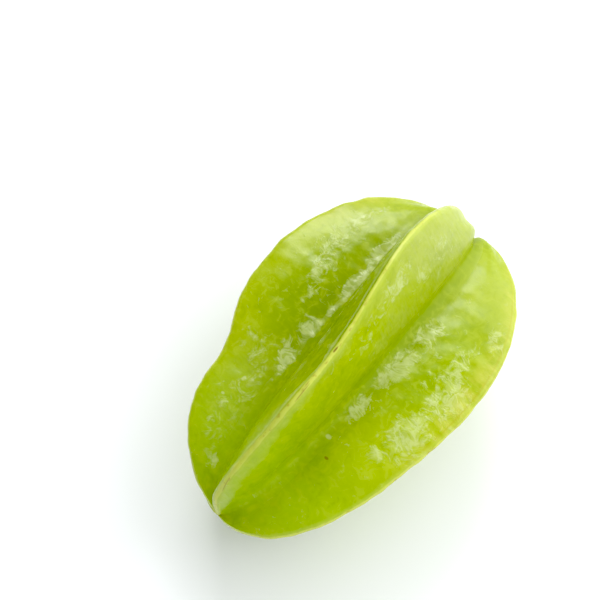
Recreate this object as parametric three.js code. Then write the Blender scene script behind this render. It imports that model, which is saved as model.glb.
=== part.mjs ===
// A star fruit (carambola) lying on two of its five ribs.
//
// The fruit grew as one piece, so it is one solid: a five-winged body with thin rounded
// crests, a blunt apex, and full shoulders round a sunken pit with the stub of the stalk.
// Millimetres, +Z up. +X runs from the apex to the stem end, +Y is the fruit's left side.
// The origin is on the surface that the fruit rests on, under the middle of its box.
//
// The skin is one loft. Along the fruit, the station t runs from the apex (0) over the
// widest ring (1), the shoulder (2) and the foot of the stalk stub (3) to its top (4).
// Round the fruit, each rib climbs from one valley to its crest and drops to the next.

import * as THREE from "three";

// ---- Driving dimensions, in millimetres and degrees ----

// The axis above the surface, and where the apex and the floor of the pit are along it.
const AXIS_HEIGHT = 28.5;
const APEX_X = -52;
const PIT_X = 43;

// The five ribs. angle is measured round the axis from +Y towards +Z, height from the axis
// to the crest, and reach is the end of the shoulder. nose is how far the rib's nose is
// drawn back from the apex, and sway is how far its crest swings from side to side. dent
// is a shallow hollow in the crest line, or a swelling where it is negative.
const RIBS = [
  { angle: 15.5, height: 35.5, widest: 8, reach: 48.8, nose: 1.7, sway: 0, dent: 4.4, dentX: -19 },
  { angle: 87.5, height: 36.6, widest: 16, reach: 50, nose: -0.6, sway: 3, dent: -2.5, dentX: -23 },
  { angle: 161, height: 35.7, widest: 10.5, reach: 50.2, nose: -5.2, sway: 0, dent: 0.7, dentX: -16 },
  { angle: 234, height: 36, widest: 6, reach: 49.5, nose: -1, sway: 0, dent: 0, dentX: 0 },
  { angle: 306, height: 36, widest: 5, reach: 49, nose: 0, sway: 0, dent: 0, dentX: 0 },
];
const DENT_WIDTH = 12;
const SWAY_MIDDLE = 11;
const SWAY_LENGTH = 17;

// The valleys, each before the rib of the same number. height is their floor's radius.
const VALLEYS = [
  { angle: -18, height: 13 },
  { angle: 51.5, height: 13 },
  { angle: 127, height: 12.8 },
  { angle: 198, height: 13 },
  { angle: 270, height: 13 },
];

// The egg shape of a crest and of a valley floor: how blunt the nose is, how far the
// shoulder has dropped where it turns, and the radius of the rim round the pit.
const CREST_EGG = { bluntness: 0.55, drop: 0.55, rim: 8 };
const VALLEY_EGG = { widest: 9, reach: 46.5, nose: 2, bluntness: 0.7, drop: 1, rim: 5.2 };
const BELLY_FULLNESS = 0.62;
const SHOULDER_FULLNESS = 0.6;

// Across a rib: the radius of the rounded crest, the slope of the flank where it meets the
// crest, the sideways swell of the flank and the fillet along the valley floor.
const CREST_RADIUS = 1.3;
const CREST_SHARE = 0.35;
const CREST_SLOPE = 28;
const FLANK_SWELL = 0.8;
const VALLEY_FILLET = 5;

// Between these stations the flanks puff out past the crest, as two cheeks with a notch.
const SHOULDER_PUFF = 2;
const PUFF_START = 1.2;
const PUFF_END = 2.4;

// The stub of the stalk, and the station where the pit's lobes start to settle round it.
const STUB_RADIUS = 2;
const STUB_LENGTH = 3;
const SETTLE_START = 2.4;

// The mesh: steps along each stretch of the loft, and places across a flank and a crest.
const STRETCH_STEPS = [22, 16, 7, 3];
const FLANK_PLACES = [0, 0.07, 0.18, 0.36, 0.56, 0.78];
const CREST_STEPS = 4;

const SKIN = { color: 0xa8c61e, roughness: 0.36, metalness: 0 };

const { clamp, degToRad, lerp, smoothstep } = THREE.MathUtils;

// ---- Curves along the fruit: x is along the axis, and y is the distance from it ----

function bezier(...points) {
  return new THREE.CubicBezierCurve(...points.map(([x, r]) => new THREE.Vector2(x, r)));
}

const STUB_CURVE = bezier(
  [PIT_X, STUB_RADIUS],
  [PIT_X + STUB_LENGTH, STUB_RADIUS],
  [PIT_X + STUB_LENGTH, STUB_RADIUS / 2],
  [PIT_X + STUB_LENGTH, 0],
);

// One lengthwise line: apex to belly, belly to shoulder, shoulder to pit, and the stub.
function eggCurves({ height, widest, reach, nose, bluntness, drop, rim }) {
  const front = BELLY_FULLNESS * (widest - APEX_X);
  const back = SHOULDER_FULLNESS * (reach - widest);
  const belly = [widest, height];
  const shoulder = [reach, rim];
  const pit = [PIT_X, STUB_RADIUS];
  return [
    bezier([APEX_X, 0], [APEX_X + nose, bluntness * height], [widest - front, height], belly),
    bezier(belly, [widest + back, height], [reach, drop * height], shoulder),
    bezier(shoulder, [reach, rim / 2], [PIT_X, (rim + STUB_RADIUS) / 2], pit),
    STUB_CURVE,
  ];
}

function line(values, egg) {
  const all = { ...egg, ...values };
  return { ...all, angle: degToRad(all.angle), curves: eggCurves(all) };
}

const ribs = RIBS.map((rib) => line(rib, CREST_EGG));
const valleys = VALLEYS.map((valley) => line(valley, VALLEY_EGG));

function pointAlong({ curves }, t) {
  const stretch = Math.min(Math.floor(t), curves.length - 1);
  return curves[stretch].getPoint(t - stretch);
}

// ---- Rings round the fruit ----

function around(x, r, angle) {
  return new THREE.Vector3(x, r * Math.cos(angle), r * Math.sin(angle));
}

function valleyPoint(valley, t) {
  const { x, y: r } = pointAlong(valley, t);
  return around(x, r, valley.angle);
}

// The crest line: an egg-shaped curve, dented at one place and swaying from side to side.
function crestAt(rib, t) {
  const { x, y: egg } = pointAlong(rib, t);
  const r = egg - rib.dent * Math.exp(-(((x - rib.dentX) / DENT_WIDTH) ** 2));
  const swing = Math.sin((x - SWAY_MIDDLE) / SWAY_LENGTH) * Math.min(r / 10, 1);
  return { x, r, angle: rib.angle - (rib.sway * swing) / Math.max(r, rib.rim) };
}

// A hump across a flank that is flat at the valley and highest at 0.4 of the way up.
function cheek(f) {
  return (f ** 2 * (1 - f) ** 3) / (0.4 ** 2 * 0.6 ** 3);
}

// One place f on a flank, from the valley (0) towards the crest (1): on a straight line
// between the two, swelled outside. Where the two flanks of a valley meet, a parabola
// lifts the crease straight up out of the valley into a fillet.
function flankPoint(foot, top, outside, swell, puff, f) {
  const span = top.clone().sub(foot);
  const length = span.length();
  const point = foot.clone().addScaledVector(span, f);
  point.addScaledVector(outside, swell * f * (1 - f));
  point.x += puff * cheek(f);
  const fillet = Math.min(VALLEY_FILLET, length / 2);
  const near = Math.max(1 - (f * length) / fillet, 0);
  const sideways = new THREE.Vector3(0, -foot.z, foot.y).normalize();
  const upward = span.addScaledVector(sideways, -span.dot(sideways)).setX(0).divideScalar(length);
  return point.addScaledVector(upward, (fillet / 2) * near ** 2);
}

// One rib's part of a ring: up the flank before it, over the crest and down the other.
function ribPoints(index, t) {
  const { x, r, angle } = crestAt(ribs[index], t);
  const radius = Math.min(CREST_RADIUS, r * CREST_SHARE);
  const centre = around(x, r - radius, angle);
  const across = around(0, 1, angle + Math.PI / 2);
  const lastTurn = Math.PI / 2 - degToRad(CREST_SLOPE);
  const puffed = clamp((t - PUFF_START) / (PUFF_END - PUFF_START), 0, 1);
  const puff = SHOULDER_PUFF * Math.sin(Math.PI * puffed) ** 2;

  const onCrest = (turn) => around(0, radius, angle + turn).add(centre);
  const flank = (valley, side) => {
    const foot = valleyPoint(valley, t);
    const outside = across.clone().multiplyScalar(side);
    const thickness = Math.max(foot.clone().sub(centre).dot(outside) - radius, 0);
    const top = onCrest(side * lastTurn);
    return FLANK_PLACES.map((f) => flankPoint(foot, top, outside, FLANK_SWELL * thickness, puff, f));
  };

  const climbing = flank(valleys[index], -1);
  const dropping = flank(valleys[(index + 1) % valleys.length], 1).slice(1).reverse();
  const crest = [];
  for (let step = 0; step <= CREST_STEPS; step += 1) {
    crest.push(onCrest(lerp(-lastTurn, lastTurn, step / CREST_STEPS)));
  }
  return [...climbing, ...crest, ...dropping];
}

// Down in the pit the ring of five lobes settles into a circle round the stub.
function settle(points, amount) {
  const radius = (point) => Math.hypot(point.y, point.z);
  const mean = (value) => points.reduce((sum, point) => sum + value(point), 0) / points.length;
  const meanX = mean((point) => point.x);
  const meanRadius = mean(radius);
  points.forEach((point) => {
    const scale = lerp(1, meanRadius / radius(point), amount);
    point.set(lerp(point.x, meanX, amount), point.y * scale, point.z * scale);
  });
}

// The weight of the fruit presses the crests that it lies on flat against the surface.
function ring(t) {
  const points = ribs.flatMap((rib, index) => ribPoints(index, t));
  settle(points, smoothstep(t, SETTLE_START, 3));
  points.forEach((point) => {
    point.z = Math.max(point.z + AXIS_HEIGHT, 0);
  });
  return points;
}

// ---- The closed skin ----

// The stations between the two ends of the loft, where it closes to a point.
function stations() {
  const all = STRETCH_STEPS.flatMap((steps, stretch) =>
    Array.from({ length: steps }, (_, step) => stretch + (step + 1) / steps));
  return all.slice(0, -1);
}

function skinGeometry() {
  const rings = stations().map(ring);
  const width = rings[0].length;
  const apex = new THREE.Vector3(APEX_X, 0, AXIS_HEIGHT);
  const stubTop = new THREE.Vector3(PIT_X + STUB_LENGTH, 0, AXIS_HEIGHT);
  const points = [apex, ...rings.flat(), stubTop];
  const vertex = (row, column) => 1 + row * width + (column % width);
  const lastRow = rings.length - 1;

  const faces = [];
  for (let column = 0; column < width; column += 1) {
    faces.push(0, vertex(0, column + 1), vertex(0, column));
    for (let row = 0; row < lastRow; row += 1) {
      const a = vertex(row, column);
      const b = vertex(row, column + 1);
      const c = vertex(row + 1, column + 1);
      const d = vertex(row + 1, column);
      faces.push(a, b, c, a, c, d);
    }
    faces.push(points.length - 1, vertex(lastRow, column), vertex(lastRow, column + 1));
  }

  const geometry = new THREE.BufferGeometry().setFromPoints(points);
  geometry.setIndex(faces);
  geometry.computeBoundingBox();
  const middle = geometry.boundingBox.getCenter(new THREE.Vector3());
  geometry.translate(-middle.x, -middle.y, 0);
  geometry.computeVertexNormals();
  return geometry;
}

const starFruit = new THREE.Mesh(skinGeometry(), new THREE.MeshStandardMaterial(SKIN));
starFruit.name = "star_fruit";

const group = new THREE.Group();
group.name = "fruit";
group.add(starFruit);

export default group;
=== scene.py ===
"""A star fruit lying on two of its five ribs, on a pale table in soft daylight.

The skin repeats the solid's loft on a fine grid and adds the relief of a real skin. Its
material is mottled yellow-green flesh under patches of glossy wax whose pale colour is a
painted sheen, with painted shade in the valleys and on the shaded flanks, and a yellow line
along each crest. The fruit and the camera are given in millimetres and degrees, and the
table and the lamps in metres.
"""

from math import cos, pi, radians, sin

import bpy
import numpy as np
from mathutils import Matrix, Vector


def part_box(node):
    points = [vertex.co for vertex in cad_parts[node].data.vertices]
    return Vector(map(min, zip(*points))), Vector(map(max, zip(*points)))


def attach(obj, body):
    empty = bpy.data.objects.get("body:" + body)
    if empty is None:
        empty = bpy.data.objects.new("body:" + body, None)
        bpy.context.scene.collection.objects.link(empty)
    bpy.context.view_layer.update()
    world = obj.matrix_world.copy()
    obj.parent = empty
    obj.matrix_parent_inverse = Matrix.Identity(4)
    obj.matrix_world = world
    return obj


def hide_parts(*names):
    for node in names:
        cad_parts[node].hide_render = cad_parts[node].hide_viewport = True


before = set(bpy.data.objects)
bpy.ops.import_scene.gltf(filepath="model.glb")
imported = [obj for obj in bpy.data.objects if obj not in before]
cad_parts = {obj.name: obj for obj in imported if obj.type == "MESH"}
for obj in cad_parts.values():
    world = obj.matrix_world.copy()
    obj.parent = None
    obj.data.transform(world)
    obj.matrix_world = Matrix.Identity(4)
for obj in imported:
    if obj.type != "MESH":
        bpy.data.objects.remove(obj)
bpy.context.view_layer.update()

MM = 0.001

# ---- The loft, with the solid's own sizes ----

# The axis above the table, and where the apex and the floor of the pit are along it.
AXIS_HEIGHT = 28.5
APEX_X = -52
PIT_X = 43

# The ribs. angle runs round the axis from +Y towards +Z, and height from the axis to the
# crest. widest is where the rib is highest, and reach is the end of its shoulder. nose is how
# far it is drawn back from the apex, and sway is how far its crest swings from side to side.
# dent is a shallow hollow in the crest line, or a swelling where it is negative.
RIBS = [
    dict(angle=15.5, height=35.5, widest=8, reach=48.8, nose=1.7, sway=0, dent=4.4, dent_x=-19),
    dict(angle=87.5, height=36.6, widest=16, reach=50, nose=-0.6, sway=3, dent=-2.5, dent_x=-23),
    dict(angle=161, height=35.7, widest=10.5, reach=50.2, nose=-5.2, sway=0, dent=0.7, dent_x=-16),
    dict(angle=234, height=36, widest=6, reach=49.5, nose=-1, sway=0, dent=0, dent_x=0),
    dict(angle=306, height=36, widest=5, reach=49, nose=0, sway=0, dent=0, dent_x=0),
]
DENT_WIDTH = 12
SWAY_MIDDLE = 11
SWAY_LENGTH = 17
SWAY_FULL_FROM = 10

# The angle of each valley, before the rib of the same number, and the radius of its floor.
VALLEYS = [(-18, 13), (51.5, 13), (127, 12.8), (198, 13), (270, 13)]

# The egg shape of a crest and of a valley floor: how blunt the nose is, how far the shoulder
# has dropped where it turns, and the radius of the rim round the pit.
CREST_EGG = dict(bluntness=0.55, drop=0.55, rim=8)
VALLEY_EGG = dict(widest=9, reach=46.5, nose=2, bluntness=0.7, drop=1, rim=5.2)
BELLY_FULLNESS = 0.62
SHOULDER_FULLNESS = 0.6

# Across a rib: the radius of the rounded crest, the slope of the flank where it meets the
# crest, the sideways swell of the flank and the fillet along the valley floor.
CREST_RADIUS = 1.3
CREST_SHARE = 0.35
CREST_SLOPE = 28
FLANK_SWELL = 0.8
VALLEY_FILLET = 5

# Between these stations the flanks puff out past the crest, most at this place up the flank.
SHOULDER_PUFF = 2
PUFF_START = 1.2
PUFF_END = 2.4
PUFF_PLACE = 0.4

# The stub of the stalk, and the station where the pit's lobes start to settle round it.
STUB_RADIUS = 2
STUB_LENGTH = 3
SETTLE_START = 2.4

# The grid: rows along each stretch of the loft, places up a flank and steps over a crest.
STRETCH_ROWS = [150, 105, 25, 10]
FLANK_COLUMNS = 30
CREST_COLUMNS = 8


def smooth(value, low, high):
    """0 at low, 1 at high, and 3u^2 - 2u^3 between them; low may be the larger."""
    u = np.clip((value - low) / (high - low), 0, 1)
    return u * u * (3 - 2 * u)


def lengthwise(height, widest, reach, nose, bluntness, drop, rim, **_):
    """One line from apex to stub, as four cubic Bezier stretches of (x, radius). The station
    t runs from 0 at the apex over 1 at the widest ring, 2 at the shoulder and 3 at the foot
    of the stub to 4 at its top."""
    front = widest - BELLY_FULLNESS * (widest - APEX_X)
    back = widest + SHOULDER_FULLNESS * (reach - widest)
    end = PIT_X + STUB_LENGTH
    return np.array([
        [(APEX_X, 0), (APEX_X + nose, bluntness * height), (front, height), (widest, height)],
        [(widest, height), (back, height), (reach, drop * height), (reach, rim)],
        [(reach, rim), (reach, rim / 2), (PIT_X, (rim + STUB_RADIUS) / 2), (PIT_X, STUB_RADIUS)],
        [(PIT_X, STUB_RADIUS), (end, STUB_RADIUS), (end, STUB_RADIUS / 2), (end, 0)],
    ])


def along(curves, t):
    """x and radius at the stations t: Bezier weights on the stretch that each t is in."""
    stretch = np.minimum(t.astype(int), len(curves) - 1)
    u = (t - stretch)[:, None]
    weights = np.hstack([(1 - u) ** 3, 3 * u * (1 - u) ** 2, 3 * u * u * (1 - u), u ** 3])
    return np.einsum("tk,tkc->ct", weights, curves[stretch])


def around(x, r, angle):
    """Points (x, r cos angle, r sin angle), so the angle runs from +Y towards +Z."""
    x, r, angle = np.broadcast_arrays(x, r, angle)
    return np.stack([x, r * np.cos(angle), r * np.sin(angle)], -1)


def crest_line(rib, t):
    """x, radius and angle of a crest: its egg less a bell-shaped dent, swaying as a sine of
    x. The sway fades where the radius is small."""
    x, egg = along(lengthwise(**{**CREST_EGG, **rib}), t)
    r = egg - rib["dent"] * np.exp(-(((x - rib["dent_x"]) / DENT_WIDTH) ** 2))
    swing = np.sin((x - SWAY_MIDDLE) / SWAY_LENGTH) * np.minimum(r / SWAY_FULL_FROM, 1)
    return x, r, radians(rib["angle"]) - rib["sway"] * swing / np.maximum(r, CREST_EGG["rim"])


def valley_line(number, t):
    """The points of a valley floor at the stations t."""
    angle, height = VALLEYS[number % len(VALLEYS)]
    x, r = along(lengthwise(height=height, **VALLEY_EGG), t)
    return around(x, r, radians(angle))


def flank(foot, top, outside, thickness, puff, places):
    """Points at the places f on a straight line from foot to top, swelled outside by
    f(1 - f), puffed along x by f^2 (1 - f)^3, and lifted at the foot by a parabola."""
    f = places[None, :, None]
    span = (top - foot)[:, None]
    length = np.linalg.norm(span, axis=-1, keepdims=True)
    points = foot[:, None] + span * f
    points = points + outside[:, None] * FLANK_SWELL * thickness[:, None, None] * f * (1 - f)
    cheek = places ** 2 * (1 - places) ** 3
    points[..., 0] += puff[:, None] * cheek / (PUFF_PLACE ** 2 * (1 - PUFF_PLACE) ** 3)
    fillet = np.minimum(VALLEY_FILLET, length / 2)
    near = np.maximum(1 - f * length / fillet, 0)
    sideways = np.stack([0 * foot[:, 0], -foot[:, 2], foot[:, 1]], -1)[:, None]
    sideways = sideways / np.linalg.norm(sideways, axis=-1, keepdims=True)
    upward = span - sideways * (span * sideways).sum(-1, keepdims=True)
    upward[..., 0] = 0
    return points + upward / length * (fillet / 2) * near ** 2


def rib_sheet(number, t):
    """One rib's part of every ring: up one flank, over the round crest, down the other."""
    x, r, angle = crest_line(RIBS[number], t)
    radius = np.minimum(CREST_RADIUS, r * CREST_SHARE)
    centre = around(x, r - radius, angle)
    across = around(0, 1, angle + pi / 2)
    last = pi / 2 - radians(CREST_SLOPE)
    puffed = np.clip((t - PUFF_START) / (PUFF_END - PUFF_START), 0, 1)
    puff = SHOULDER_PUFF * np.sin(pi * puffed) ** 2
    places = np.arange(FLANK_COLUMNS) / FLANK_COLUMNS

    def on_crest(turns):
        return centre[:, None] + around(0, radius[:, None], angle[:, None] + turns[None])

    def side(valley, way):
        foot = valley_line(valley, t)
        top = on_crest(np.array([way * last]))[:, 0]
        outside = across * way
        thickness = np.maximum(((foot - centre) * outside).sum(-1) - radius, 0)
        return flank(foot, top, outside, thickness, puff, places)

    crest = on_crest(np.linspace(-last, last, CREST_COLUMNS + 1))
    return np.concatenate([side(number, -1), crest, side(number + 1, 1)[:, :0:-1]], 1)


def settled(points, amount):
    """Rings blended by amount towards a flat circle of their mean x and mean radius."""
    radius = np.hypot(points[..., 1], points[..., 2])
    scale = 1 + amount[:, None] * (radius.mean(1, keepdims=True) / radius - 1)
    x = points[..., 0]
    flat = x + amount[:, None] * (x.mean(1, keepdims=True) - x)
    return np.stack([flat, points[..., 1] * scale, points[..., 2] * scale], -1)


# ---- Patches on the skin ----

# Where the wax lies in crinkled, glossy patches with a painted sheen in their colour, where
# pale flesh shows, partly as a painted sheen, where deep green is painted shade, and where
# the edge of a rib has ripened. Each patch is an oval on one flank: the flank's number, which
# is twice the rib's plus one for the side that drops, the middle x and climb, the half length
# in x and in climb, and the strength. The climb is 0 in a valley and 1 on a crest.
PATCHES = {
    # Wax, glossier and more bumped, with a painted sheen in its colour.
    "wax_and_sheen": [
        (1, 27, 0.16, 8, 0.12, 1.3),
        (1, 17, 0.09, 7, 0.11, 1.6),
        (1, 5, 0.11, 7, 0.05, 0.6),
        (1, -2, 0.17, 4.5, 0.13, 1.1),
        (1, -11, 0.2, 5.5, 0.15, 1.1),
        (1, 30, 0.71, 7.5, 0.12, 0.9),
        (1, 23, 0.62, 6, 0.14, 0.75),
        (1, 15, 0.52, 7, 0.14, 0.75),
        (1, 6, 0.43, 5, 0.06, 0.9),
        (1, -14, 0.67, 8, 0.18, 0.45),
        (1, -20, 0.45, 7, 0.16, 0.4),
        (1, -31, 0.5, 10, 0.3, 0.45),
        (1, -43, 0.3, 2, 0.1, 0.7),
        (4, 17.5, 0.21, 5, 0.14, 1.1),
        (4, 5, 0.16, 7.5, 0.14, 1.2),
        (4, -9.5, 0.15, 4.5, 0.12, 1.2),
        (4, 15.5, 0.7, 6, 0.11, 0.85),
        (4, 6, 0.8, 9, 0.2, 1.0),
        (4, 8, 0.53, 6, 0.1, 0.5),
        (4, -8, 0.79, 8, 0.2, 1.0),
        (4, -16, 0.7, 2.5, 0.13, 0.9),
        (4, 27, 0.87, 5, 0.1, 0.9),
        (3, 26, 0.55, 5.5, 0.14, 0.75),
        (3, 16, 0.8, 8, 0.14, 0.75),
        (3, 3, 0.72, 9, 0.16, 0.6),
        (3, 36, 0.6, 8, 0.3, 0.42),
        (0, 8, 0.6, 9, 0.15, 0.7),
        (0, -20, 0.4, 6, 0.12, 0.6),
        (5, -12, 0.5, 9, 0.14, 0.7),
        (5, 20, 0.7, 7, 0.12, 0.7),
        (6, 10, 0.45, 8, 0.15, 0.6),
        (7, -18, 0.6, 8, 0.14, 0.6),
        (8, 16, 0.6, 8, 0.15, 0.6),
        (9, -10, 0.5, 9, 0.14, 0.7),
        (9, 26, 0.7, 6, 0.12, 0.6),
    ],
    # Pale flesh, partly a painted sheen.
    "pale": [
        (3, 37, 0.65, 15, 0.8, 0.7),
        (3, 17, 0.4, 17, 0.45, 0.4),
        (2, 42, 0.9, 8, 0.4, 0.8),
        (4, 40, 0.8, 12, 0.4, 0.15),
        (2, -37, 0.8, 10, 0.4, 0.55),
        (2, -49, 0.9, 4, 0.4, 1.2),
        (3, -50, 0.9, 3.5, 0.5, 1.2),
        (3, -43, 0.8, 6, 0.4, 0.3),
        (3, -24, 0.97, 24, 0.12, 0.2),
        (1, 34, 0.75, 9, 0.3, 0.2),
        (1, -27, 0.55, 16, 0.45, 0.3),
        (6, 34, 0.7, 14, 0.4, 0.6),
        (8, -34, 0.7, 12, 0.4, 0.6),
    ],
    # Painted shade in deep green.
    "painted_shade": [
        (2, 9, 0.85, 29, 0.75, 1.2),
        (1, 8, 0.38, 24, 0.38, 0.85),
        (3, -6, 0.3, 24, 0.3, 0.3),
        (0, 4, 0.5, 24, 0.4, 0.4),
        (7, 6, 0.5, 24, 0.4, 0.4),
    ],
    "ripe": [
        (4, 12, 1.0, 24, 0.17, 1.0),
        (4, 38, 1.0, 9, 0.17, 0.9),
        (5, 12, 1.0, 24, 0.12, 0.8),
        (1, 34, 0.98, 12, 0.15, 0.5),
    ],
}

# A patch is whole up to one share of the size of its oval, and has faded out at the other.
PATCH_WHOLE = 0.3
PATCH_GONE = 1.5


def patched(name, x, climb):
    """The strongest of the named patches at each point, each fading outwards as
    3u^2 - 2u^3."""
    strength = np.zeros_like(x)
    flank_of = np.arange(x.shape[1]) // (x.shape[1] // (2 * len(RIBS)))
    for number, middle_x, middle_climb, half_x, half_climb, amount in PATCHES[name]:
        off = np.hypot((x - middle_x) / half_x, (climb - middle_climb) / half_climb)
        inside = smooth(off, PATCH_GONE, PATCH_WHOLE) * (flank_of == number)
        strength = np.maximum(strength, amount * inside)
    return strength


# ---- The relief of the skin ----

# How high each form stands, the shortest and longest of its waves, and how wide it is across
# the crest.
SWELL_HEIGHT = 0.07
SWELL_WAVES = (10, 18)
DIMPLE_HEIGHT = 0.02
WAX_DIMPLE_HEIGHT = 0.05
DIMPLE_WAVES = (2.6, 5.5)
FOLD_HEIGHT = 0.03
FOLD_WAVES = (2.6, 5)
BEAD_HEIGHT = 0.06
BEAD_WIDTH = 0.5
BUMPS_HEIGHT = 0.08
BUMPS_WAVES = (2, 7)
BUMPS_WIDTH = 1.2
WAVES_IN_A_SUM = 48

# The climbs between which the folds set in and end, the places along x between which they
# calm down at the shoulder, and the share by which they do so there and in the patches of
# painted shade.
FOLDS_SET_IN = (0.1, 0.35)
FOLDS_END = (0.85, 1)
SHOULDER_CALM_FROM = (16, 28)
SHOULDER_CALM = 0.65
SHADE_PATCH_CALM = 0.7

# The stations between which the relief fades out before the stub.
RELIEF_ENDS = (2.6, 3)

# The rounding of a valley floor: how far it reaches up the flanks, and how many neighbours
# on each side a point is averaged with.
FLOOR_WIDTH = 1.5
FLOOR_NEIGHBOURS = 3

# Scales that draw a pattern out, along each axis whose scale is below 1: up the flanks, from
# a little to a lot, and along a crest.
DRAWN_UP_A_LITTLE = (1, 0.6, 0.6)
DRAWN_UP = (1, 0.3, 0.3)
DRAWN_UP_A_LOT = (1, 0.2, 0.2)
DRAWN_ALONG = (0.35, 1, 1)


def ripples(points, shortest, longest, seed):
    """A sum of plane waves of unit spread, each in a seeded direction and with a wavelength
    in the range."""
    dice = np.random.default_rng(seed)
    ways = dice.normal(size=(WAVES_IN_A_SUM, 3))
    ways /= np.linalg.norm(ways, axis=1, keepdims=True)
    ways *= 2 * pi / dice.uniform(shortest, longest, (WAVES_IN_A_SUM, 1))
    starts = dice.uniform(0, 2 * pi, WAVES_IN_A_SUM)
    return np.cos(points @ ways.T + starts).sum(-1) * (2 / WAVES_IN_A_SUM) ** 0.5


def outward(points):
    """Unit normals of a grid that closes on itself sideways: the step beside each point
    crossed with the step down the rows."""
    down = np.gradient(points, axis=0)
    beside = np.roll(points, -1, 1) - np.roll(points, 1, 1)
    normal = np.cross(beside, down)
    return normal / np.maximum(np.linalg.norm(normal, axis=-1, keepdims=True), 1e-9)


def relief(points, climb, from_crest, t):
    """Height of the skin over the smooth loft: long swells, shorter dimples that are deepest
    in the wax, folds that run up the flanks, and a fine bead and small bumps along the
    crest. The folds calm down in the patches of painted shade and at the shoulder, and end
    below the crest. Nothing is raised on the stub."""
    x = points[..., 0]
    swell = SWELL_HEIGHT * ripples(points, *SWELL_WAVES, seed=3)
    dimple_height = DIMPLE_HEIGHT + WAX_DIMPLE_HEIGHT * patched("wax_and_sheen", x, climb)
    dimple = dimple_height * ripples(points, *DIMPLE_WAVES, seed=5)
    fold = FOLD_HEIGHT * ripples(points * DRAWN_UP, *FOLD_WAVES, seed=8)
    fold = fold * smooth(climb, *FOLDS_SET_IN)
    fold = fold * (1 - SHADE_PATCH_CALM * patched("painted_shade", x, climb))
    fold = fold * (1 - SHOULDER_CALM * smooth(x, *SHOULDER_CALM_FROM))
    fold = fold * (1 - smooth(climb, *FOLDS_END))
    bead = BEAD_HEIGHT * np.exp(-((from_crest / BEAD_WIDTH) ** 2))
    bumps = BUMPS_HEIGHT * ripples(points * DRAWN_UP_A_LOT, *BUMPS_WAVES, seed=11)
    bumps = bumps * np.exp(-((from_crest / BUMPS_WIDTH) ** 2))
    on_skin = 1 - smooth(t, *RELIEF_ENDS)[:, None]
    return on_skin * (swell + dimple + fold + bead + bumps)


def skin_grid():
    """The rings of the skin from apex to stub, with each point's climb up its flank, its
    distances from the crest line and the valley line, and its station. Each valley floor is
    rounded by the mean of its neighbours."""
    rows = [stretch + np.arange(1, n + 1) / n for stretch, n in enumerate(STRETCH_ROWS)]
    t = np.concatenate(rows)[:-1]
    sheets = [rib_sheet(number, t) for number in range(len(RIBS))]
    points = settled(np.concatenate(sheets, 1), smooth(t, SETTLE_START, 3))

    places = np.arange(FLANK_COLUMNS) / FLANK_COLUMNS
    climb = np.concatenate([places, np.ones(CREST_COLUMNS + 1), places[:0:-1]])
    steps = np.linalg.norm(np.diff(points, axis=1, prepend=points[:, -1:]), axis=-1)
    reach = np.cumsum(steps, 1).reshape(t.size, len(RIBS), climb.size)
    middle = FLANK_COLUMNS + CREST_COLUMNS // 2
    from_crest = np.abs(reach - reach[..., middle:middle + 1]).reshape(t.size, -1)
    start = reach[..., :1]
    end = np.roll(start, -1, 1)
    end[:, -1] = reach[:, -1, -1:] + steps[:, :1]
    from_valley = np.minimum(reach - start, end - reach).reshape(t.size, -1)
    climb = np.tile(climb, len(RIBS))[None].repeat(t.size, 0)

    floor = np.exp(-((from_valley / FLOOR_WIDTH) ** 2))[..., None]
    shifts = range(-FLOOR_NEIGHBOURS, FLOOR_NEIGHBOURS + 1)
    rounded = sum(np.roll(points, shift, 1) for shift in shifts) / len(shifts)
    points = points + floor * (rounded - points)
    lift = relief(points, climb, from_crest, t)
    points = points + outward(points) * lift[..., None]
    return points, climb, from_crest, from_valley, t


def skin_mesh():
    """The closed mesh of the skin: a point at the apex, the rings, and a point on the stub.
    Its box is centred over that of the solid, and it lies flat where it meets the table."""
    grid, climb, from_crest, from_valley, t = skin_grid()
    rows, width = grid.shape[:2]
    ends = np.array([[APEX_X, 0, 0], [PIT_X + STUB_LENGTH, 0, 0]], float)
    points = np.concatenate([ends[:1], grid.reshape(-1, 3), ends[1:]])
    points[:, 2] = np.maximum(points[:, 2] + AXIS_HEIGHT, 0)
    low, high = (np.array(corner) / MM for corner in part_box("star_fruit"))
    points[:, :2] += ((low + high - points.min(0) - points.max(0)) / 2)[:2]

    at = 1 + np.arange(rows * width).reshape(rows, width)
    beside = np.roll(at, -1, 1)
    quads = np.stack([at[:-1], beside[:-1], beside[1:], at[1:]], -1).reshape(-1, 4)
    first = np.stack([np.zeros(width, int), beside[0], at[0]], -1)
    last = np.stack([np.full(width, len(points) - 1), at[-1], beside[-1]], -1)
    faces = quads.tolist() + first.tolist() + last.tolist()

    mesh = bpy.data.meshes.new("star_fruit_skin")
    mesh.from_pydata((points * MM).tolist(), [], faces)
    mesh.polygons.foreach_set("use_smooth", np.ones(len(faces), bool))

    def attribute(name, values, at_apex, at_stub):
        layer = mesh.attributes.new(name, "FLOAT", "POINT")
        values = np.concatenate([[at_apex], values.ravel(), [at_stub]])
        layer.data.foreach_set("value", values.astype(np.float32))

    attribute("climb", climb, 1, 0)
    attribute("from_crest", from_crest, 0, 0)
    attribute("from_valley", from_valley, 0, 0)
    attribute("station", np.repeat(t[:, None], width, 1), 0, 4)
    for name in PATCHES:
        attribute(name, patched(name, grid[..., 0], climb), 0, 0)
    mesh.update()
    return mesh


# ---- The recipe for a material ----


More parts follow.
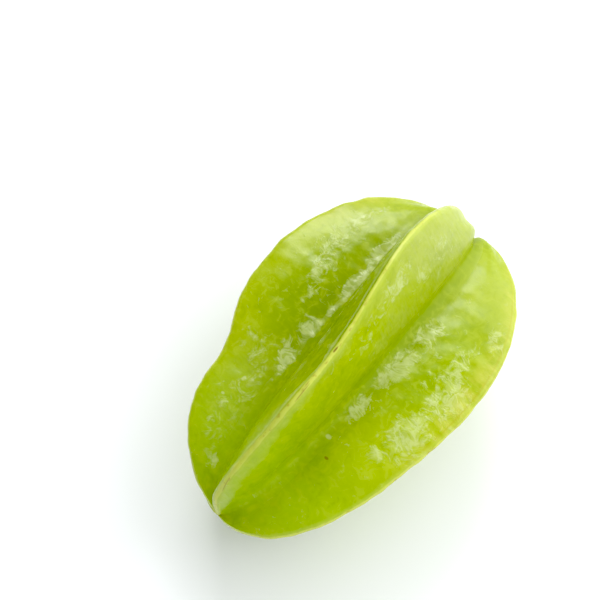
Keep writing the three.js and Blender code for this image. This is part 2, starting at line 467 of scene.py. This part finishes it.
class Recipe:
    """Builds the nodes of one material, or of the world, each given by its inputs."""

    def __init__(self, owner, places="Object"):
        owner.use_nodes = True
        self.tree = owner.node_tree
        self.places = self.node("TexCoord").outputs[places]

    def node(self, kind, inputs=None, **settings):
        """A node with its settings, and with what each named socket is fed."""
        made = self.tree.nodes.new("ShaderNode" + kind)
        for name, value in settings.items():
            setattr(made, name, value)
        for socket, value in (inputs or {}).items():
            self.feed(made.inputs[socket], value)
        return made

    def feed(self, socket, value):
        """Links what varies over the surface, and sets what doesn't on the socket itself."""
        if isinstance(value, bpy.types.NodeSocket):
            self.tree.links.new(value, socket)
        else:
            socket.default_value = value

    def math(self, operation, *values):
        return self.node("Math", dict(enumerate(values)), operation=operation).outputs[0]

    def times(self, first, second):
        return self.math("MULTIPLY", first, second)

    def scaled(self, value, factor, offset):
        """value times factor, plus offset."""
        return self.math("MULTIPLY_ADD", value, factor, offset)

    def step(self, value, low, high):
        """0 at low, 1 at high, smooth between; low may be the larger."""
        inputs = {"Value": value, "From Min": low, "From Max": high}
        return self.node("MapRange", inputs, interpolation_type="SMOOTHSTEP").outputs["Result"]

    def attribute(self, name):
        return self.node("Attribute", attribute_name=name).outputs["Fac"]

    def noise(self, size, detail=2.0, distortion=0.0, roughness=0.5, stretch=None):
        """Noise about size millimetres across, drawn out along an axis by a scale below 1."""
        places = self.places
        if stretch:
            places = self.node("Mapping", {"Vector": places, "Scale": stretch}).outputs[0]
        inputs = {"Vector": places, "Scale": 1 / (size * MM), "Detail": detail,
                  "Distortion": distortion, "Roughness": roughness}
        return self.node("TexNoise", inputs).outputs["Fac"]

    def mix(self, amount, first, second):
        """The first colour at 0, the second at 1."""
        made = self.node("Mix", data_type="RGBA")
        for name, value in (("Factor", amount), ("A", first), ("B", second)):
            kind = "VALUE" if name == "Factor" else "RGBA"
            socket = next(s for s in made.inputs if s.name == name and s.type == kind)
            self.feed(socket, (*value, 1) if isinstance(value, tuple) else value)
        return next(s for s in made.outputs if s.type == "RGBA")

    def tint(self, colour, amount, strength, toward):
        """A colour drawn towards another by amount times strength."""
        return self.mix(self.times(amount, strength), colour, toward)


# ---- The skin's material ----

FLESH_DARK = (0.235, 0.335, 0.001)
FLESH_LIGHT = (0.295, 0.39, 0.002)
# Painted shade in the valleys.
VALLEY_PAINTED_SHADE = (0.17, 0.27, 0.001)
# Painted shade on the flanks that lie in shade.
PAINTED_SHADE_GREEN = (0.145, 0.24, 0.001)
THIN_RIB = (0.37, 0.43, 0.01)
STEM_END = (0.33, 0.385, 0.02)
APEX_END = (0.265, 0.425, 0.003)
MOTTLE_LIGHT = (0.38, 0.455, 0.035)
MOTTLE_DARK = (0.18, 0.28, 0.001)
STREAK = (0.42, 0.49, 0.06)
# Pale flesh, partly a painted sheen, towards the apex and the stem end.
PALE_AT_APEX = (0.38, 0.47, 0.13)
PALE_AT_STEM = (0.44, 0.485, 0.20)
# Painted sheen: the pale colour of the wax patches stands in for their highlights.
PAINTED_WAX_SHEEN = (0.485, 0.555, 0.23)
RIPE_YELLOW = (0.53, 0.52, 0.09)
RIPE_ORANGE = (0.45, 0.34, 0.03)
RIPE_SEAM = (0.36, 0.34, 0.02)
CREST_BAND = (0.40, 0.47, 0.08)
CREST_CORD = (0.54, 0.58, 0.12)
CREST_FLECK = (0.24, 0.16, 0.01)
BROWN = (0.14, 0.07, 0.01)
PALE_DOT = (0.55, 0.6, 0.3)
PIT_CORK = (0.33, 0.28, 0.05)
WOOD_DARK = (0.09, 0.055, 0.02)
WOOD_LIGHT = (0.30, 0.21, 0.09)

# Small marks on the upper side: middle x and y, half sizes along x and y, the height above
# which they show, strength and colour.
MARKS = [
    (-6, -1.3, 1.1, 0.3, 60, 0.8, BROWN),
    (-19.5, -1.9, 3.0, 0.2, 60, 0.5, BROWN),
    (-23.5, -13.4, 0.45, 0.7, 30, 0.7, BROWN),
    (-45.5, 0.8, 2.0, 0.17, 40, 0.45, BROWN),
    # Small pale dots.
    (-18.8, -10.3, 0.7, 0.9, 30, 0.42, PALE_DOT),
    (-20.9, 16.5, 0.8, 0.5, 30, 0.45, PALE_DOT),
    (-27.2, 18.2, 0.4, 0.5, 30, 0.45, PALE_DOT),
]

# The wax with its painted sheen: how thick it is at the rim of a patch and where it is whole,
# and how far from its middle the crinkled noise still makes a thread.
WAX_AND_SHEEN_THICKNESS = (0.69, 1.08)
THREAD_WIDTH = 0.12

# Distances from the crest line: where the pale band and the cord set in and are whole, how
# much wider the cord is towards the apex, and the place and width of the ochre seam.
BAND_SETS_IN = (2.3, 1.1)
CORD_SETS_IN = (0.85, 0.5)
CORD_WIDENING = 0.28
SEAM_PLACE = 1.8
SEAM_WIDTH = 0.35

# The stations between which the corky ring and the wood of the stub set in.
RING_SETS_IN = (2.45, 2.95)
WOOD_SETS_IN = (2.93, 3.02)

# The roughness: its lowest and highest all over the skin, and what the wax, the patches of
# painted shade, the valleys and the wood make of it.
GLAZE = (0.2, 0.28)
WAX_GLOSS = 0.07
SHADE_PATCH_GLOSS = 0.08
VALLEY_DULLNESS = 0.25
WOOD_ROUGHNESS = 0.85

# The height of the fine bumps, and how light spreads under the skin.
BUMP_HEIGHT = 0.09
UNDER_SKIN_SHARE = 0.35
UNDER_SKIN_REACH = 3
UNDER_SKIN_COLOURS = (1.0, 0.9, 0.2)
SKIN_IOR = 1.45


def flesh(skin, x, clouded):
    """Broad shades of yellow-green, painted shade in olive along the valleys, yellower in the
    thin ribs and at the stem end, greener at the apex, and painted shade in deep green in
    places."""
    broad = skin.step(skin.noise(22, detail=1), 0.35, 0.65)
    colour = skin.mix(broad, FLESH_DARK, FLESH_LIGHT)
    # Painted shade: the flesh darkens to olive towards the valley floors.
    valley = skin.step(skin.attribute("from_valley"), 7, 0)
    colour = skin.tint(colour, valley, 0.6, VALLEY_PAINTED_SHADE)
    colour = skin.tint(colour, skin.step(skin.attribute("climb"), 0.5, 1.0), 0.3, THIN_RIB)
    colour = skin.tint(colour, skin.step(x, 6 * MM, 46 * MM), 0.3, STEM_END)
    colour = skin.tint(colour, skin.step(x, -10 * MM, -42 * MM), 0.6, APEX_END)
    # Painted shade: deep green where the flanks lie in shade.
    painted_shade = skin.times(skin.attribute("painted_shade"), clouded)
    return skin.tint(colour, painted_shade, 0.62, PAINTED_SHADE_GREEN)


def mottled(skin, colour, streak):
    """Lighter and darker mottling, and streaks that run up the flanks."""
    mottle = skin.noise(3, detail=4, distortion=1.2, roughness=0.6)
    colour = skin.tint(colour, skin.step(mottle, 0.47, 0.66), 0.42, MOTTLE_LIGHT)
    colour = skin.tint(colour, skin.step(mottle, 0.46, 0.3), 0.35, MOTTLE_DARK)
    return skin.tint(colour, skin.step(streak, 0.52, 0.75), 0.2, STREAK)


def paled(skin, colour, x, clouded, fibre):
    """Pale flesh that shows through the thin parts, partly a painted sheen, with fine fibres
    across it. It stops short of the valley lines."""
    off_valley = skin.step(skin.attribute("from_valley"), 0.5, 4.5)
    # Pale flesh, partly a painted sheen.
    pale = skin.times(skin.attribute("pale"), skin.scaled(fibre, 2.0, -0.1))
    pale = skin.times(skin.times(pale, clouded), off_valley)
    veil = skin.mix(skin.step(x, -30 * MM, 10 * MM), PALE_AT_APEX, PALE_AT_STEM)
    return skin.mix(skin.times(pale, 0.48), colour, veil)


def wax_and_sheen_patch(skin, thread):
    """Where the wax and its painted sheen are, from 0 to 1: its patches, broken up by a cloudy
    noise into soft ragged rims that reach a little further along the threads."""
    cloud = skin.scaled(skin.noise(4.2, detail=5, distortion=1.4, roughness=0.68), 1.7, -0.35)
    thick = skin.scaled(skin.attribute("wax_and_sheen"), 0.46, cloud)
    return skin.step(skin.scaled(thread, 0.08, thick), *WAX_AND_SHEEN_THICKNESS)


def ripened(skin, colour, streak):
    """A ripe edge: yellow, in streaks that run up to it, with a few orange flecks, and an
    ochre seam beside the crest."""
    edge = skin.attribute("ripe")
    ripe = skin.times(edge, skin.step(streak, 0.3, 0.7))
    colour = skin.tint(colour, ripe, 0.55, RIPE_YELLOW)
    flecks = skin.times(ripe, skin.step(skin.noise(0.7, detail=2), 0.64, 0.7))
    colour = skin.tint(colour, flecks, 0.35, RIPE_ORANGE)
    beside = skin.math("SUBTRACT", skin.attribute("from_crest"), SEAM_PLACE)
    seam = skin.step(skin.math("ABSOLUTE", beside), SEAM_WIDTH, 0.0)
    return skin.tint(colour, skin.times(edge, seam), 0.5, RIPE_SEAM)


def crested(skin, colour, x):
    """A pale band over the rounding of each crest, weaker where shade is painted, and on it a
    thin yellow cord with brown flecks drawn out along it. The cord is wider towards the apex
    and fades at the stem end."""
    wander = skin.scaled(skin.noise(3), 0.6, skin.attribute("from_crest"))
    band = skin.scaled(skin.attribute("painted_shade"), -0.7, skin.step(wander, *BAND_SETS_IN))
    colour = skin.tint(colour, skin.math("MAXIMUM", band, 0), 0.32, CREST_BAND)
    widened = skin.scaled(skin.step(x, 12 * MM, -14 * MM), -CORD_WIDENING, wander)
    cord = skin.times(skin.step(widened, *CORD_SETS_IN), skin.step(x, 45 * MM, 36 * MM))
    colour = skin.tint(colour, cord, 0.62, CREST_CORD)
    drawn_out = skin.noise(1.1, detail=4, stretch=DRAWN_ALONG)
    flecks = skin.times(cord, skin.step(drawn_out, 0.6, 0.68))
    return skin.tint(colour, flecks, 0.5, CREST_FLECK)


def marked(skin, colour, x, y, z, fibre):
    """The small marks: ovals with ragged rims, each only where the skin is high enough."""
    for middle_x, middle_y, half_x, half_y, lowest, strength, toward in MARKS:
        off_x = skin.math("DIVIDE", skin.math("SUBTRACT", x, middle_x * MM), half_x * MM)
        off_y = skin.math("DIVIDE", skin.math("SUBTRACT", y, middle_y * MM), half_y * MM)
        off = skin.math("ADD", skin.times(off_x, off_x), skin.times(off_y, off_y))
        inside = skin.step(skin.scaled(fibre, 1.2, off), 1.7, 0.9)
        above = skin.step(z, (lowest - 1) * MM, lowest * MM)
        colour = skin.tint(colour, skin.times(inside, above), strength, toward)
    return colour


def stubbed(skin, colour, station, wood):
    """The corky ring in the pit, and the grain of the stub of the stalk."""
    crumbled = skin.step(skin.noise(0.8), 0.35, 0.6)
    ring = skin.times(skin.step(station, *RING_SETS_IN), crumbled)
    colour = skin.tint(colour, ring, 0.6, PIT_CORK)
    grain = skin.mix(skin.noise(0.4, detail=4), WOOD_DARK, WOOD_LIGHT)
    return skin.mix(wood, colour, grain)


def glazed(skin, patch, wood):
    """The roughness: glossier in the wax and in the patches of painted shade, duller in the
    valleys, and dry on the wood."""
    lowest, highest = GLAZE
    uneven = {"Value": skin.noise(4, detail=3), "To Min": lowest, "To Max": highest}
    glaze = skin.node("MapRange", uneven).outputs["Result"]
    glaze = skin.scaled(patch, -WAX_GLOSS, glaze)
    glaze = skin.scaled(skin.attribute("painted_shade"), -SHADE_PATCH_GLOSS, glaze)
    dull = skin.times(skin.step(skin.attribute("from_valley"), 4, 0), VALLEY_DULLNESS)
    return skin.math("MAXIMUM", skin.math("ADD", glaze, dull), skin.times(wood, WOOD_ROUGHNESS))


def bumped(skin, crinkle, thread, patch):
    """Fine bumps: crinkled ridges, stronger in the wax, and pores all over."""
    ridges = skin.scaled(thread, 0.25, crinkle)
    rough_wax = skin.times(ridges, skin.scaled(patch, 0.8, 0.25))
    height = skin.scaled(skin.noise(0.45, detail=1), 0.12, rough_wax)
    inputs = {"Height": height, "Distance": BUMP_HEIGHT * MM, "Strength": 1.0}
    return skin.node("Bump", inputs).outputs["Normal"]


def skin_material():
    """Mottled flesh with painted shade, pale flesh and wax with a painted sheen, ripe edge,
    crest lines, marks and stub, one over the other. The distances from crest and valley are in
    millimetres, and places are in metres."""
    material = bpy.data.materials.new("waxy_star_fruit_skin")
    skin = Recipe(material)
    x, y, z = skin.node("SeparateXYZ", {0: skin.places}).outputs
    station = skin.attribute("station")
    clouded = skin.scaled(skin.noise(9, detail=4, distortion=0.8), 1.0, 0.45)
    streak = skin.noise(2.0, detail=3, distortion=0.4, stretch=DRAWN_UP)
    fibre = skin.noise(0.7, detail=3, distortion=0.3, stretch=DRAWN_UP_A_LOT)
    crinkle = skin.noise(2.7, detail=2.5, distortion=0.9, stretch=DRAWN_UP_A_LITTLE)
    off_middle = skin.math("ABSOLUTE", skin.math("SUBTRACT", crinkle, 0.5))
    thread = skin.step(off_middle, THREAD_WIDTH, 0.0)
    patch = wax_and_sheen_patch(skin, thread)
    wood = skin.step(station, *WOOD_SETS_IN)

    colour = mottled(skin, flesh(skin, x, clouded), streak)
    colour = paled(skin, colour, x, clouded, fibre)
    # Painted sheen: the wax patches are lightened, most along the crinkled threads, as painted
    # highlights.
    colour = skin.tint(colour, skin.times(patch, skin.scaled(thread, 0.6, 0.44)), 0.73, PAINTED_WAX_SHEEN)
    colour = crested(skin, ripened(skin, colour, streak), x)
    colour = stubbed(skin, marked(skin, colour, x, y, z, fibre), station, wood)

    surface = skin.tree.nodes["Principled BSDF"].inputs
    skin.feed(surface["Base Color"], colour)
    skin.feed(surface["Roughness"], glazed(skin, patch, wood))
    skin.feed(surface["Normal"], bumped(skin, crinkle, thread, patch))
    surface["Subsurface Weight"].default_value = UNDER_SKIN_SHARE
    surface["Subsurface Radius"].default_value = UNDER_SKIN_COLOURS
    surface["Subsurface Scale"].default_value = UNDER_SKIN_REACH * MM
    surface["IOR"].default_value = SKIN_IOR
    return material


# ---- The fruit ----

fruit = bpy.data.objects.new("star_fruit_skin", skin_mesh())
bpy.context.scene.collection.objects.link(fruit)
fruit.data.materials.append(skin_material())
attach(fruit, "root")
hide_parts("star_fruit")

# ---- The table, the daylight and the camera ----

# The table's half side and its colours, and the point that the lamps face.
TABLE_HALF = 2.5
TABLE_DARKER = (0.83, 0.85, 0.86)
TABLE_LIGHTER = (0.85, 0.868, 0.877)
TABLE_ROUGHNESS = 0.6
LAMP_AIM = Vector((0, 0, 0.03))

# The room: the direction of its shaded side round the fruit, and its colours.
SHADED_SIDE = 120
WALL_BRIGHT = (0.88, 0.89, 0.885)
WALL_SHADED = (0.22, 0.23, 0.23)
CEILING = (0.55, 0.56, 0.56)
ROOM_GLOW = 1.5

# The camera: how far it is turned round the fruit and raised above the table, what it aims
# at and from how far, how wide a strip it sees at that distance, the width of its film, and
# the nearest that it sees.
CAMERA_TURN = -49.79
CAMERA_RISE = 71
CAMERA_AIM = Vector((7.33, 21.37, 28.5)) * MM
CAMERA_DISTANCE = 450
VIEW_WIDTH = 160.99
FILM_WIDTH = 36
NEAREST_SEEN = 10


def table_material():
    """Pale, with faint broad clouds."""
    material = bpy.data.materials.new("pale_table_top")
    top = Recipe(material)
    surface = top.tree.nodes["Principled BSDF"].inputs
    colour = top.mix(top.noise(160, detail=1), TABLE_DARKER, TABLE_LIGHTER)
    top.feed(surface["Base Color"], colour)
    surface["Roughness"].default_value = TABLE_ROUGHNESS
    return material


def table_top():
    """A square flat top at the height that the fruit rests on."""
    mesh = bpy.data.meshes.new("table_top")
    square = ((-1, -1), (1, -1), (1, 1), (-1, 1))
    corners = [(TABLE_HALF * x, TABLE_HALF * y, 0) for x, y in square]
    mesh.from_pydata(corners, [], [(0, 1, 2, 3)])
    mesh.materials.append(table_material())
    top = bpy.data.objects.new("table_top", mesh)
    bpy.context.scene.collection.objects.link(top)


def soft_box(name, azimuth, elevation, distance, size, power):
    """A square lamp that faces the fruit, from a direction round and above it."""
    turn, rise = radians(azimuth), radians(elevation)
    away = Vector((cos(turn) * cos(rise), sin(turn) * cos(rise), sin(rise)))
    light = bpy.data.lights.new(name, "AREA")
    light.shape = "SQUARE"
    light.size = size
    light.energy = power
    lamp = bpy.data.objects.new(name, light)
    lamp.location = LAMP_AIM + away * distance
    lamp.rotation_euler = away.to_track_quat("Z", "Y").to_euler()
    bpy.context.scene.collection.objects.link(lamp)


def pale_room():
    """A bright room all round, dim overhead, and dimmer on the fruit's left, away from the
    window."""
    world = bpy.data.worlds.new("pale_room")
    bpy.context.scene.world = world
    room = Recipe(world, places="Generated")
    height = room.node("SeparateXYZ", {0: room.places}).outputs["Z"]
    shaded_way = (cos(radians(SHADED_SIDE)), sin(radians(SHADED_SIDE)), 0)
    ways = {0: room.places, 1: shaded_way}
    towards = room.node("VectorMath", ways, operation="DOT_PRODUCT").outputs["Value"]
    wall = room.mix(room.step(towards, 0.0, 0.8), WALL_BRIGHT, WALL_SHADED)
    glow = room.mix(room.step(height, 0.55, 0.85), wall, CEILING)
    background = room.tree.nodes["Background"].inputs
    room.feed(background["Color"], glow)
    background["Strength"].default_value = ROOM_GLOW


def camera():
    """High above the table, on the apex side of the fruit's right."""
    turn, rise = radians(CAMERA_TURN), radians(CAMERA_RISE)
    back = Vector((sin(turn) * cos(rise), -cos(turn) * cos(rise), sin(rise)))
    right = Vector((cos(turn), sin(turn), 0))
    lens = bpy.data.cameras.new("camera")
    lens.lens = FILM_WIDTH * CAMERA_DISTANCE / VIEW_WIDTH
    lens.sensor_width = FILM_WIDTH
    lens.clip_start = NEAREST_SEEN * MM
    view = bpy.data.objects.new("camera", lens)
    turned = Matrix((right, back.cross(right), back)).transposed().to_4x4()
    view.matrix_world = Matrix.Translation(CAMERA_AIM + back * (CAMERA_DISTANCE * MM)) @ turned
    bpy.context.scene.collection.objects.link(view)
    bpy.context.scene.camera = view


table_top()
soft_box("window_light", azimuth=40, elevation=45, distance=0.9, size=0.4, power=3.6)
soft_box("key_light", azimuth=-25, elevation=40, distance=1.2, size=1.2, power=8.5)
pale_room()
camera()

# Daylight film: its blue layer misses the faintest light, which keeps the greens clear.
film = bpy.context.scene.view_settings
film.view_transform = "Standard"
film.use_curve_mapping = True
film.curve_mapping.black_level = (0.0, 0.0, 0.04)
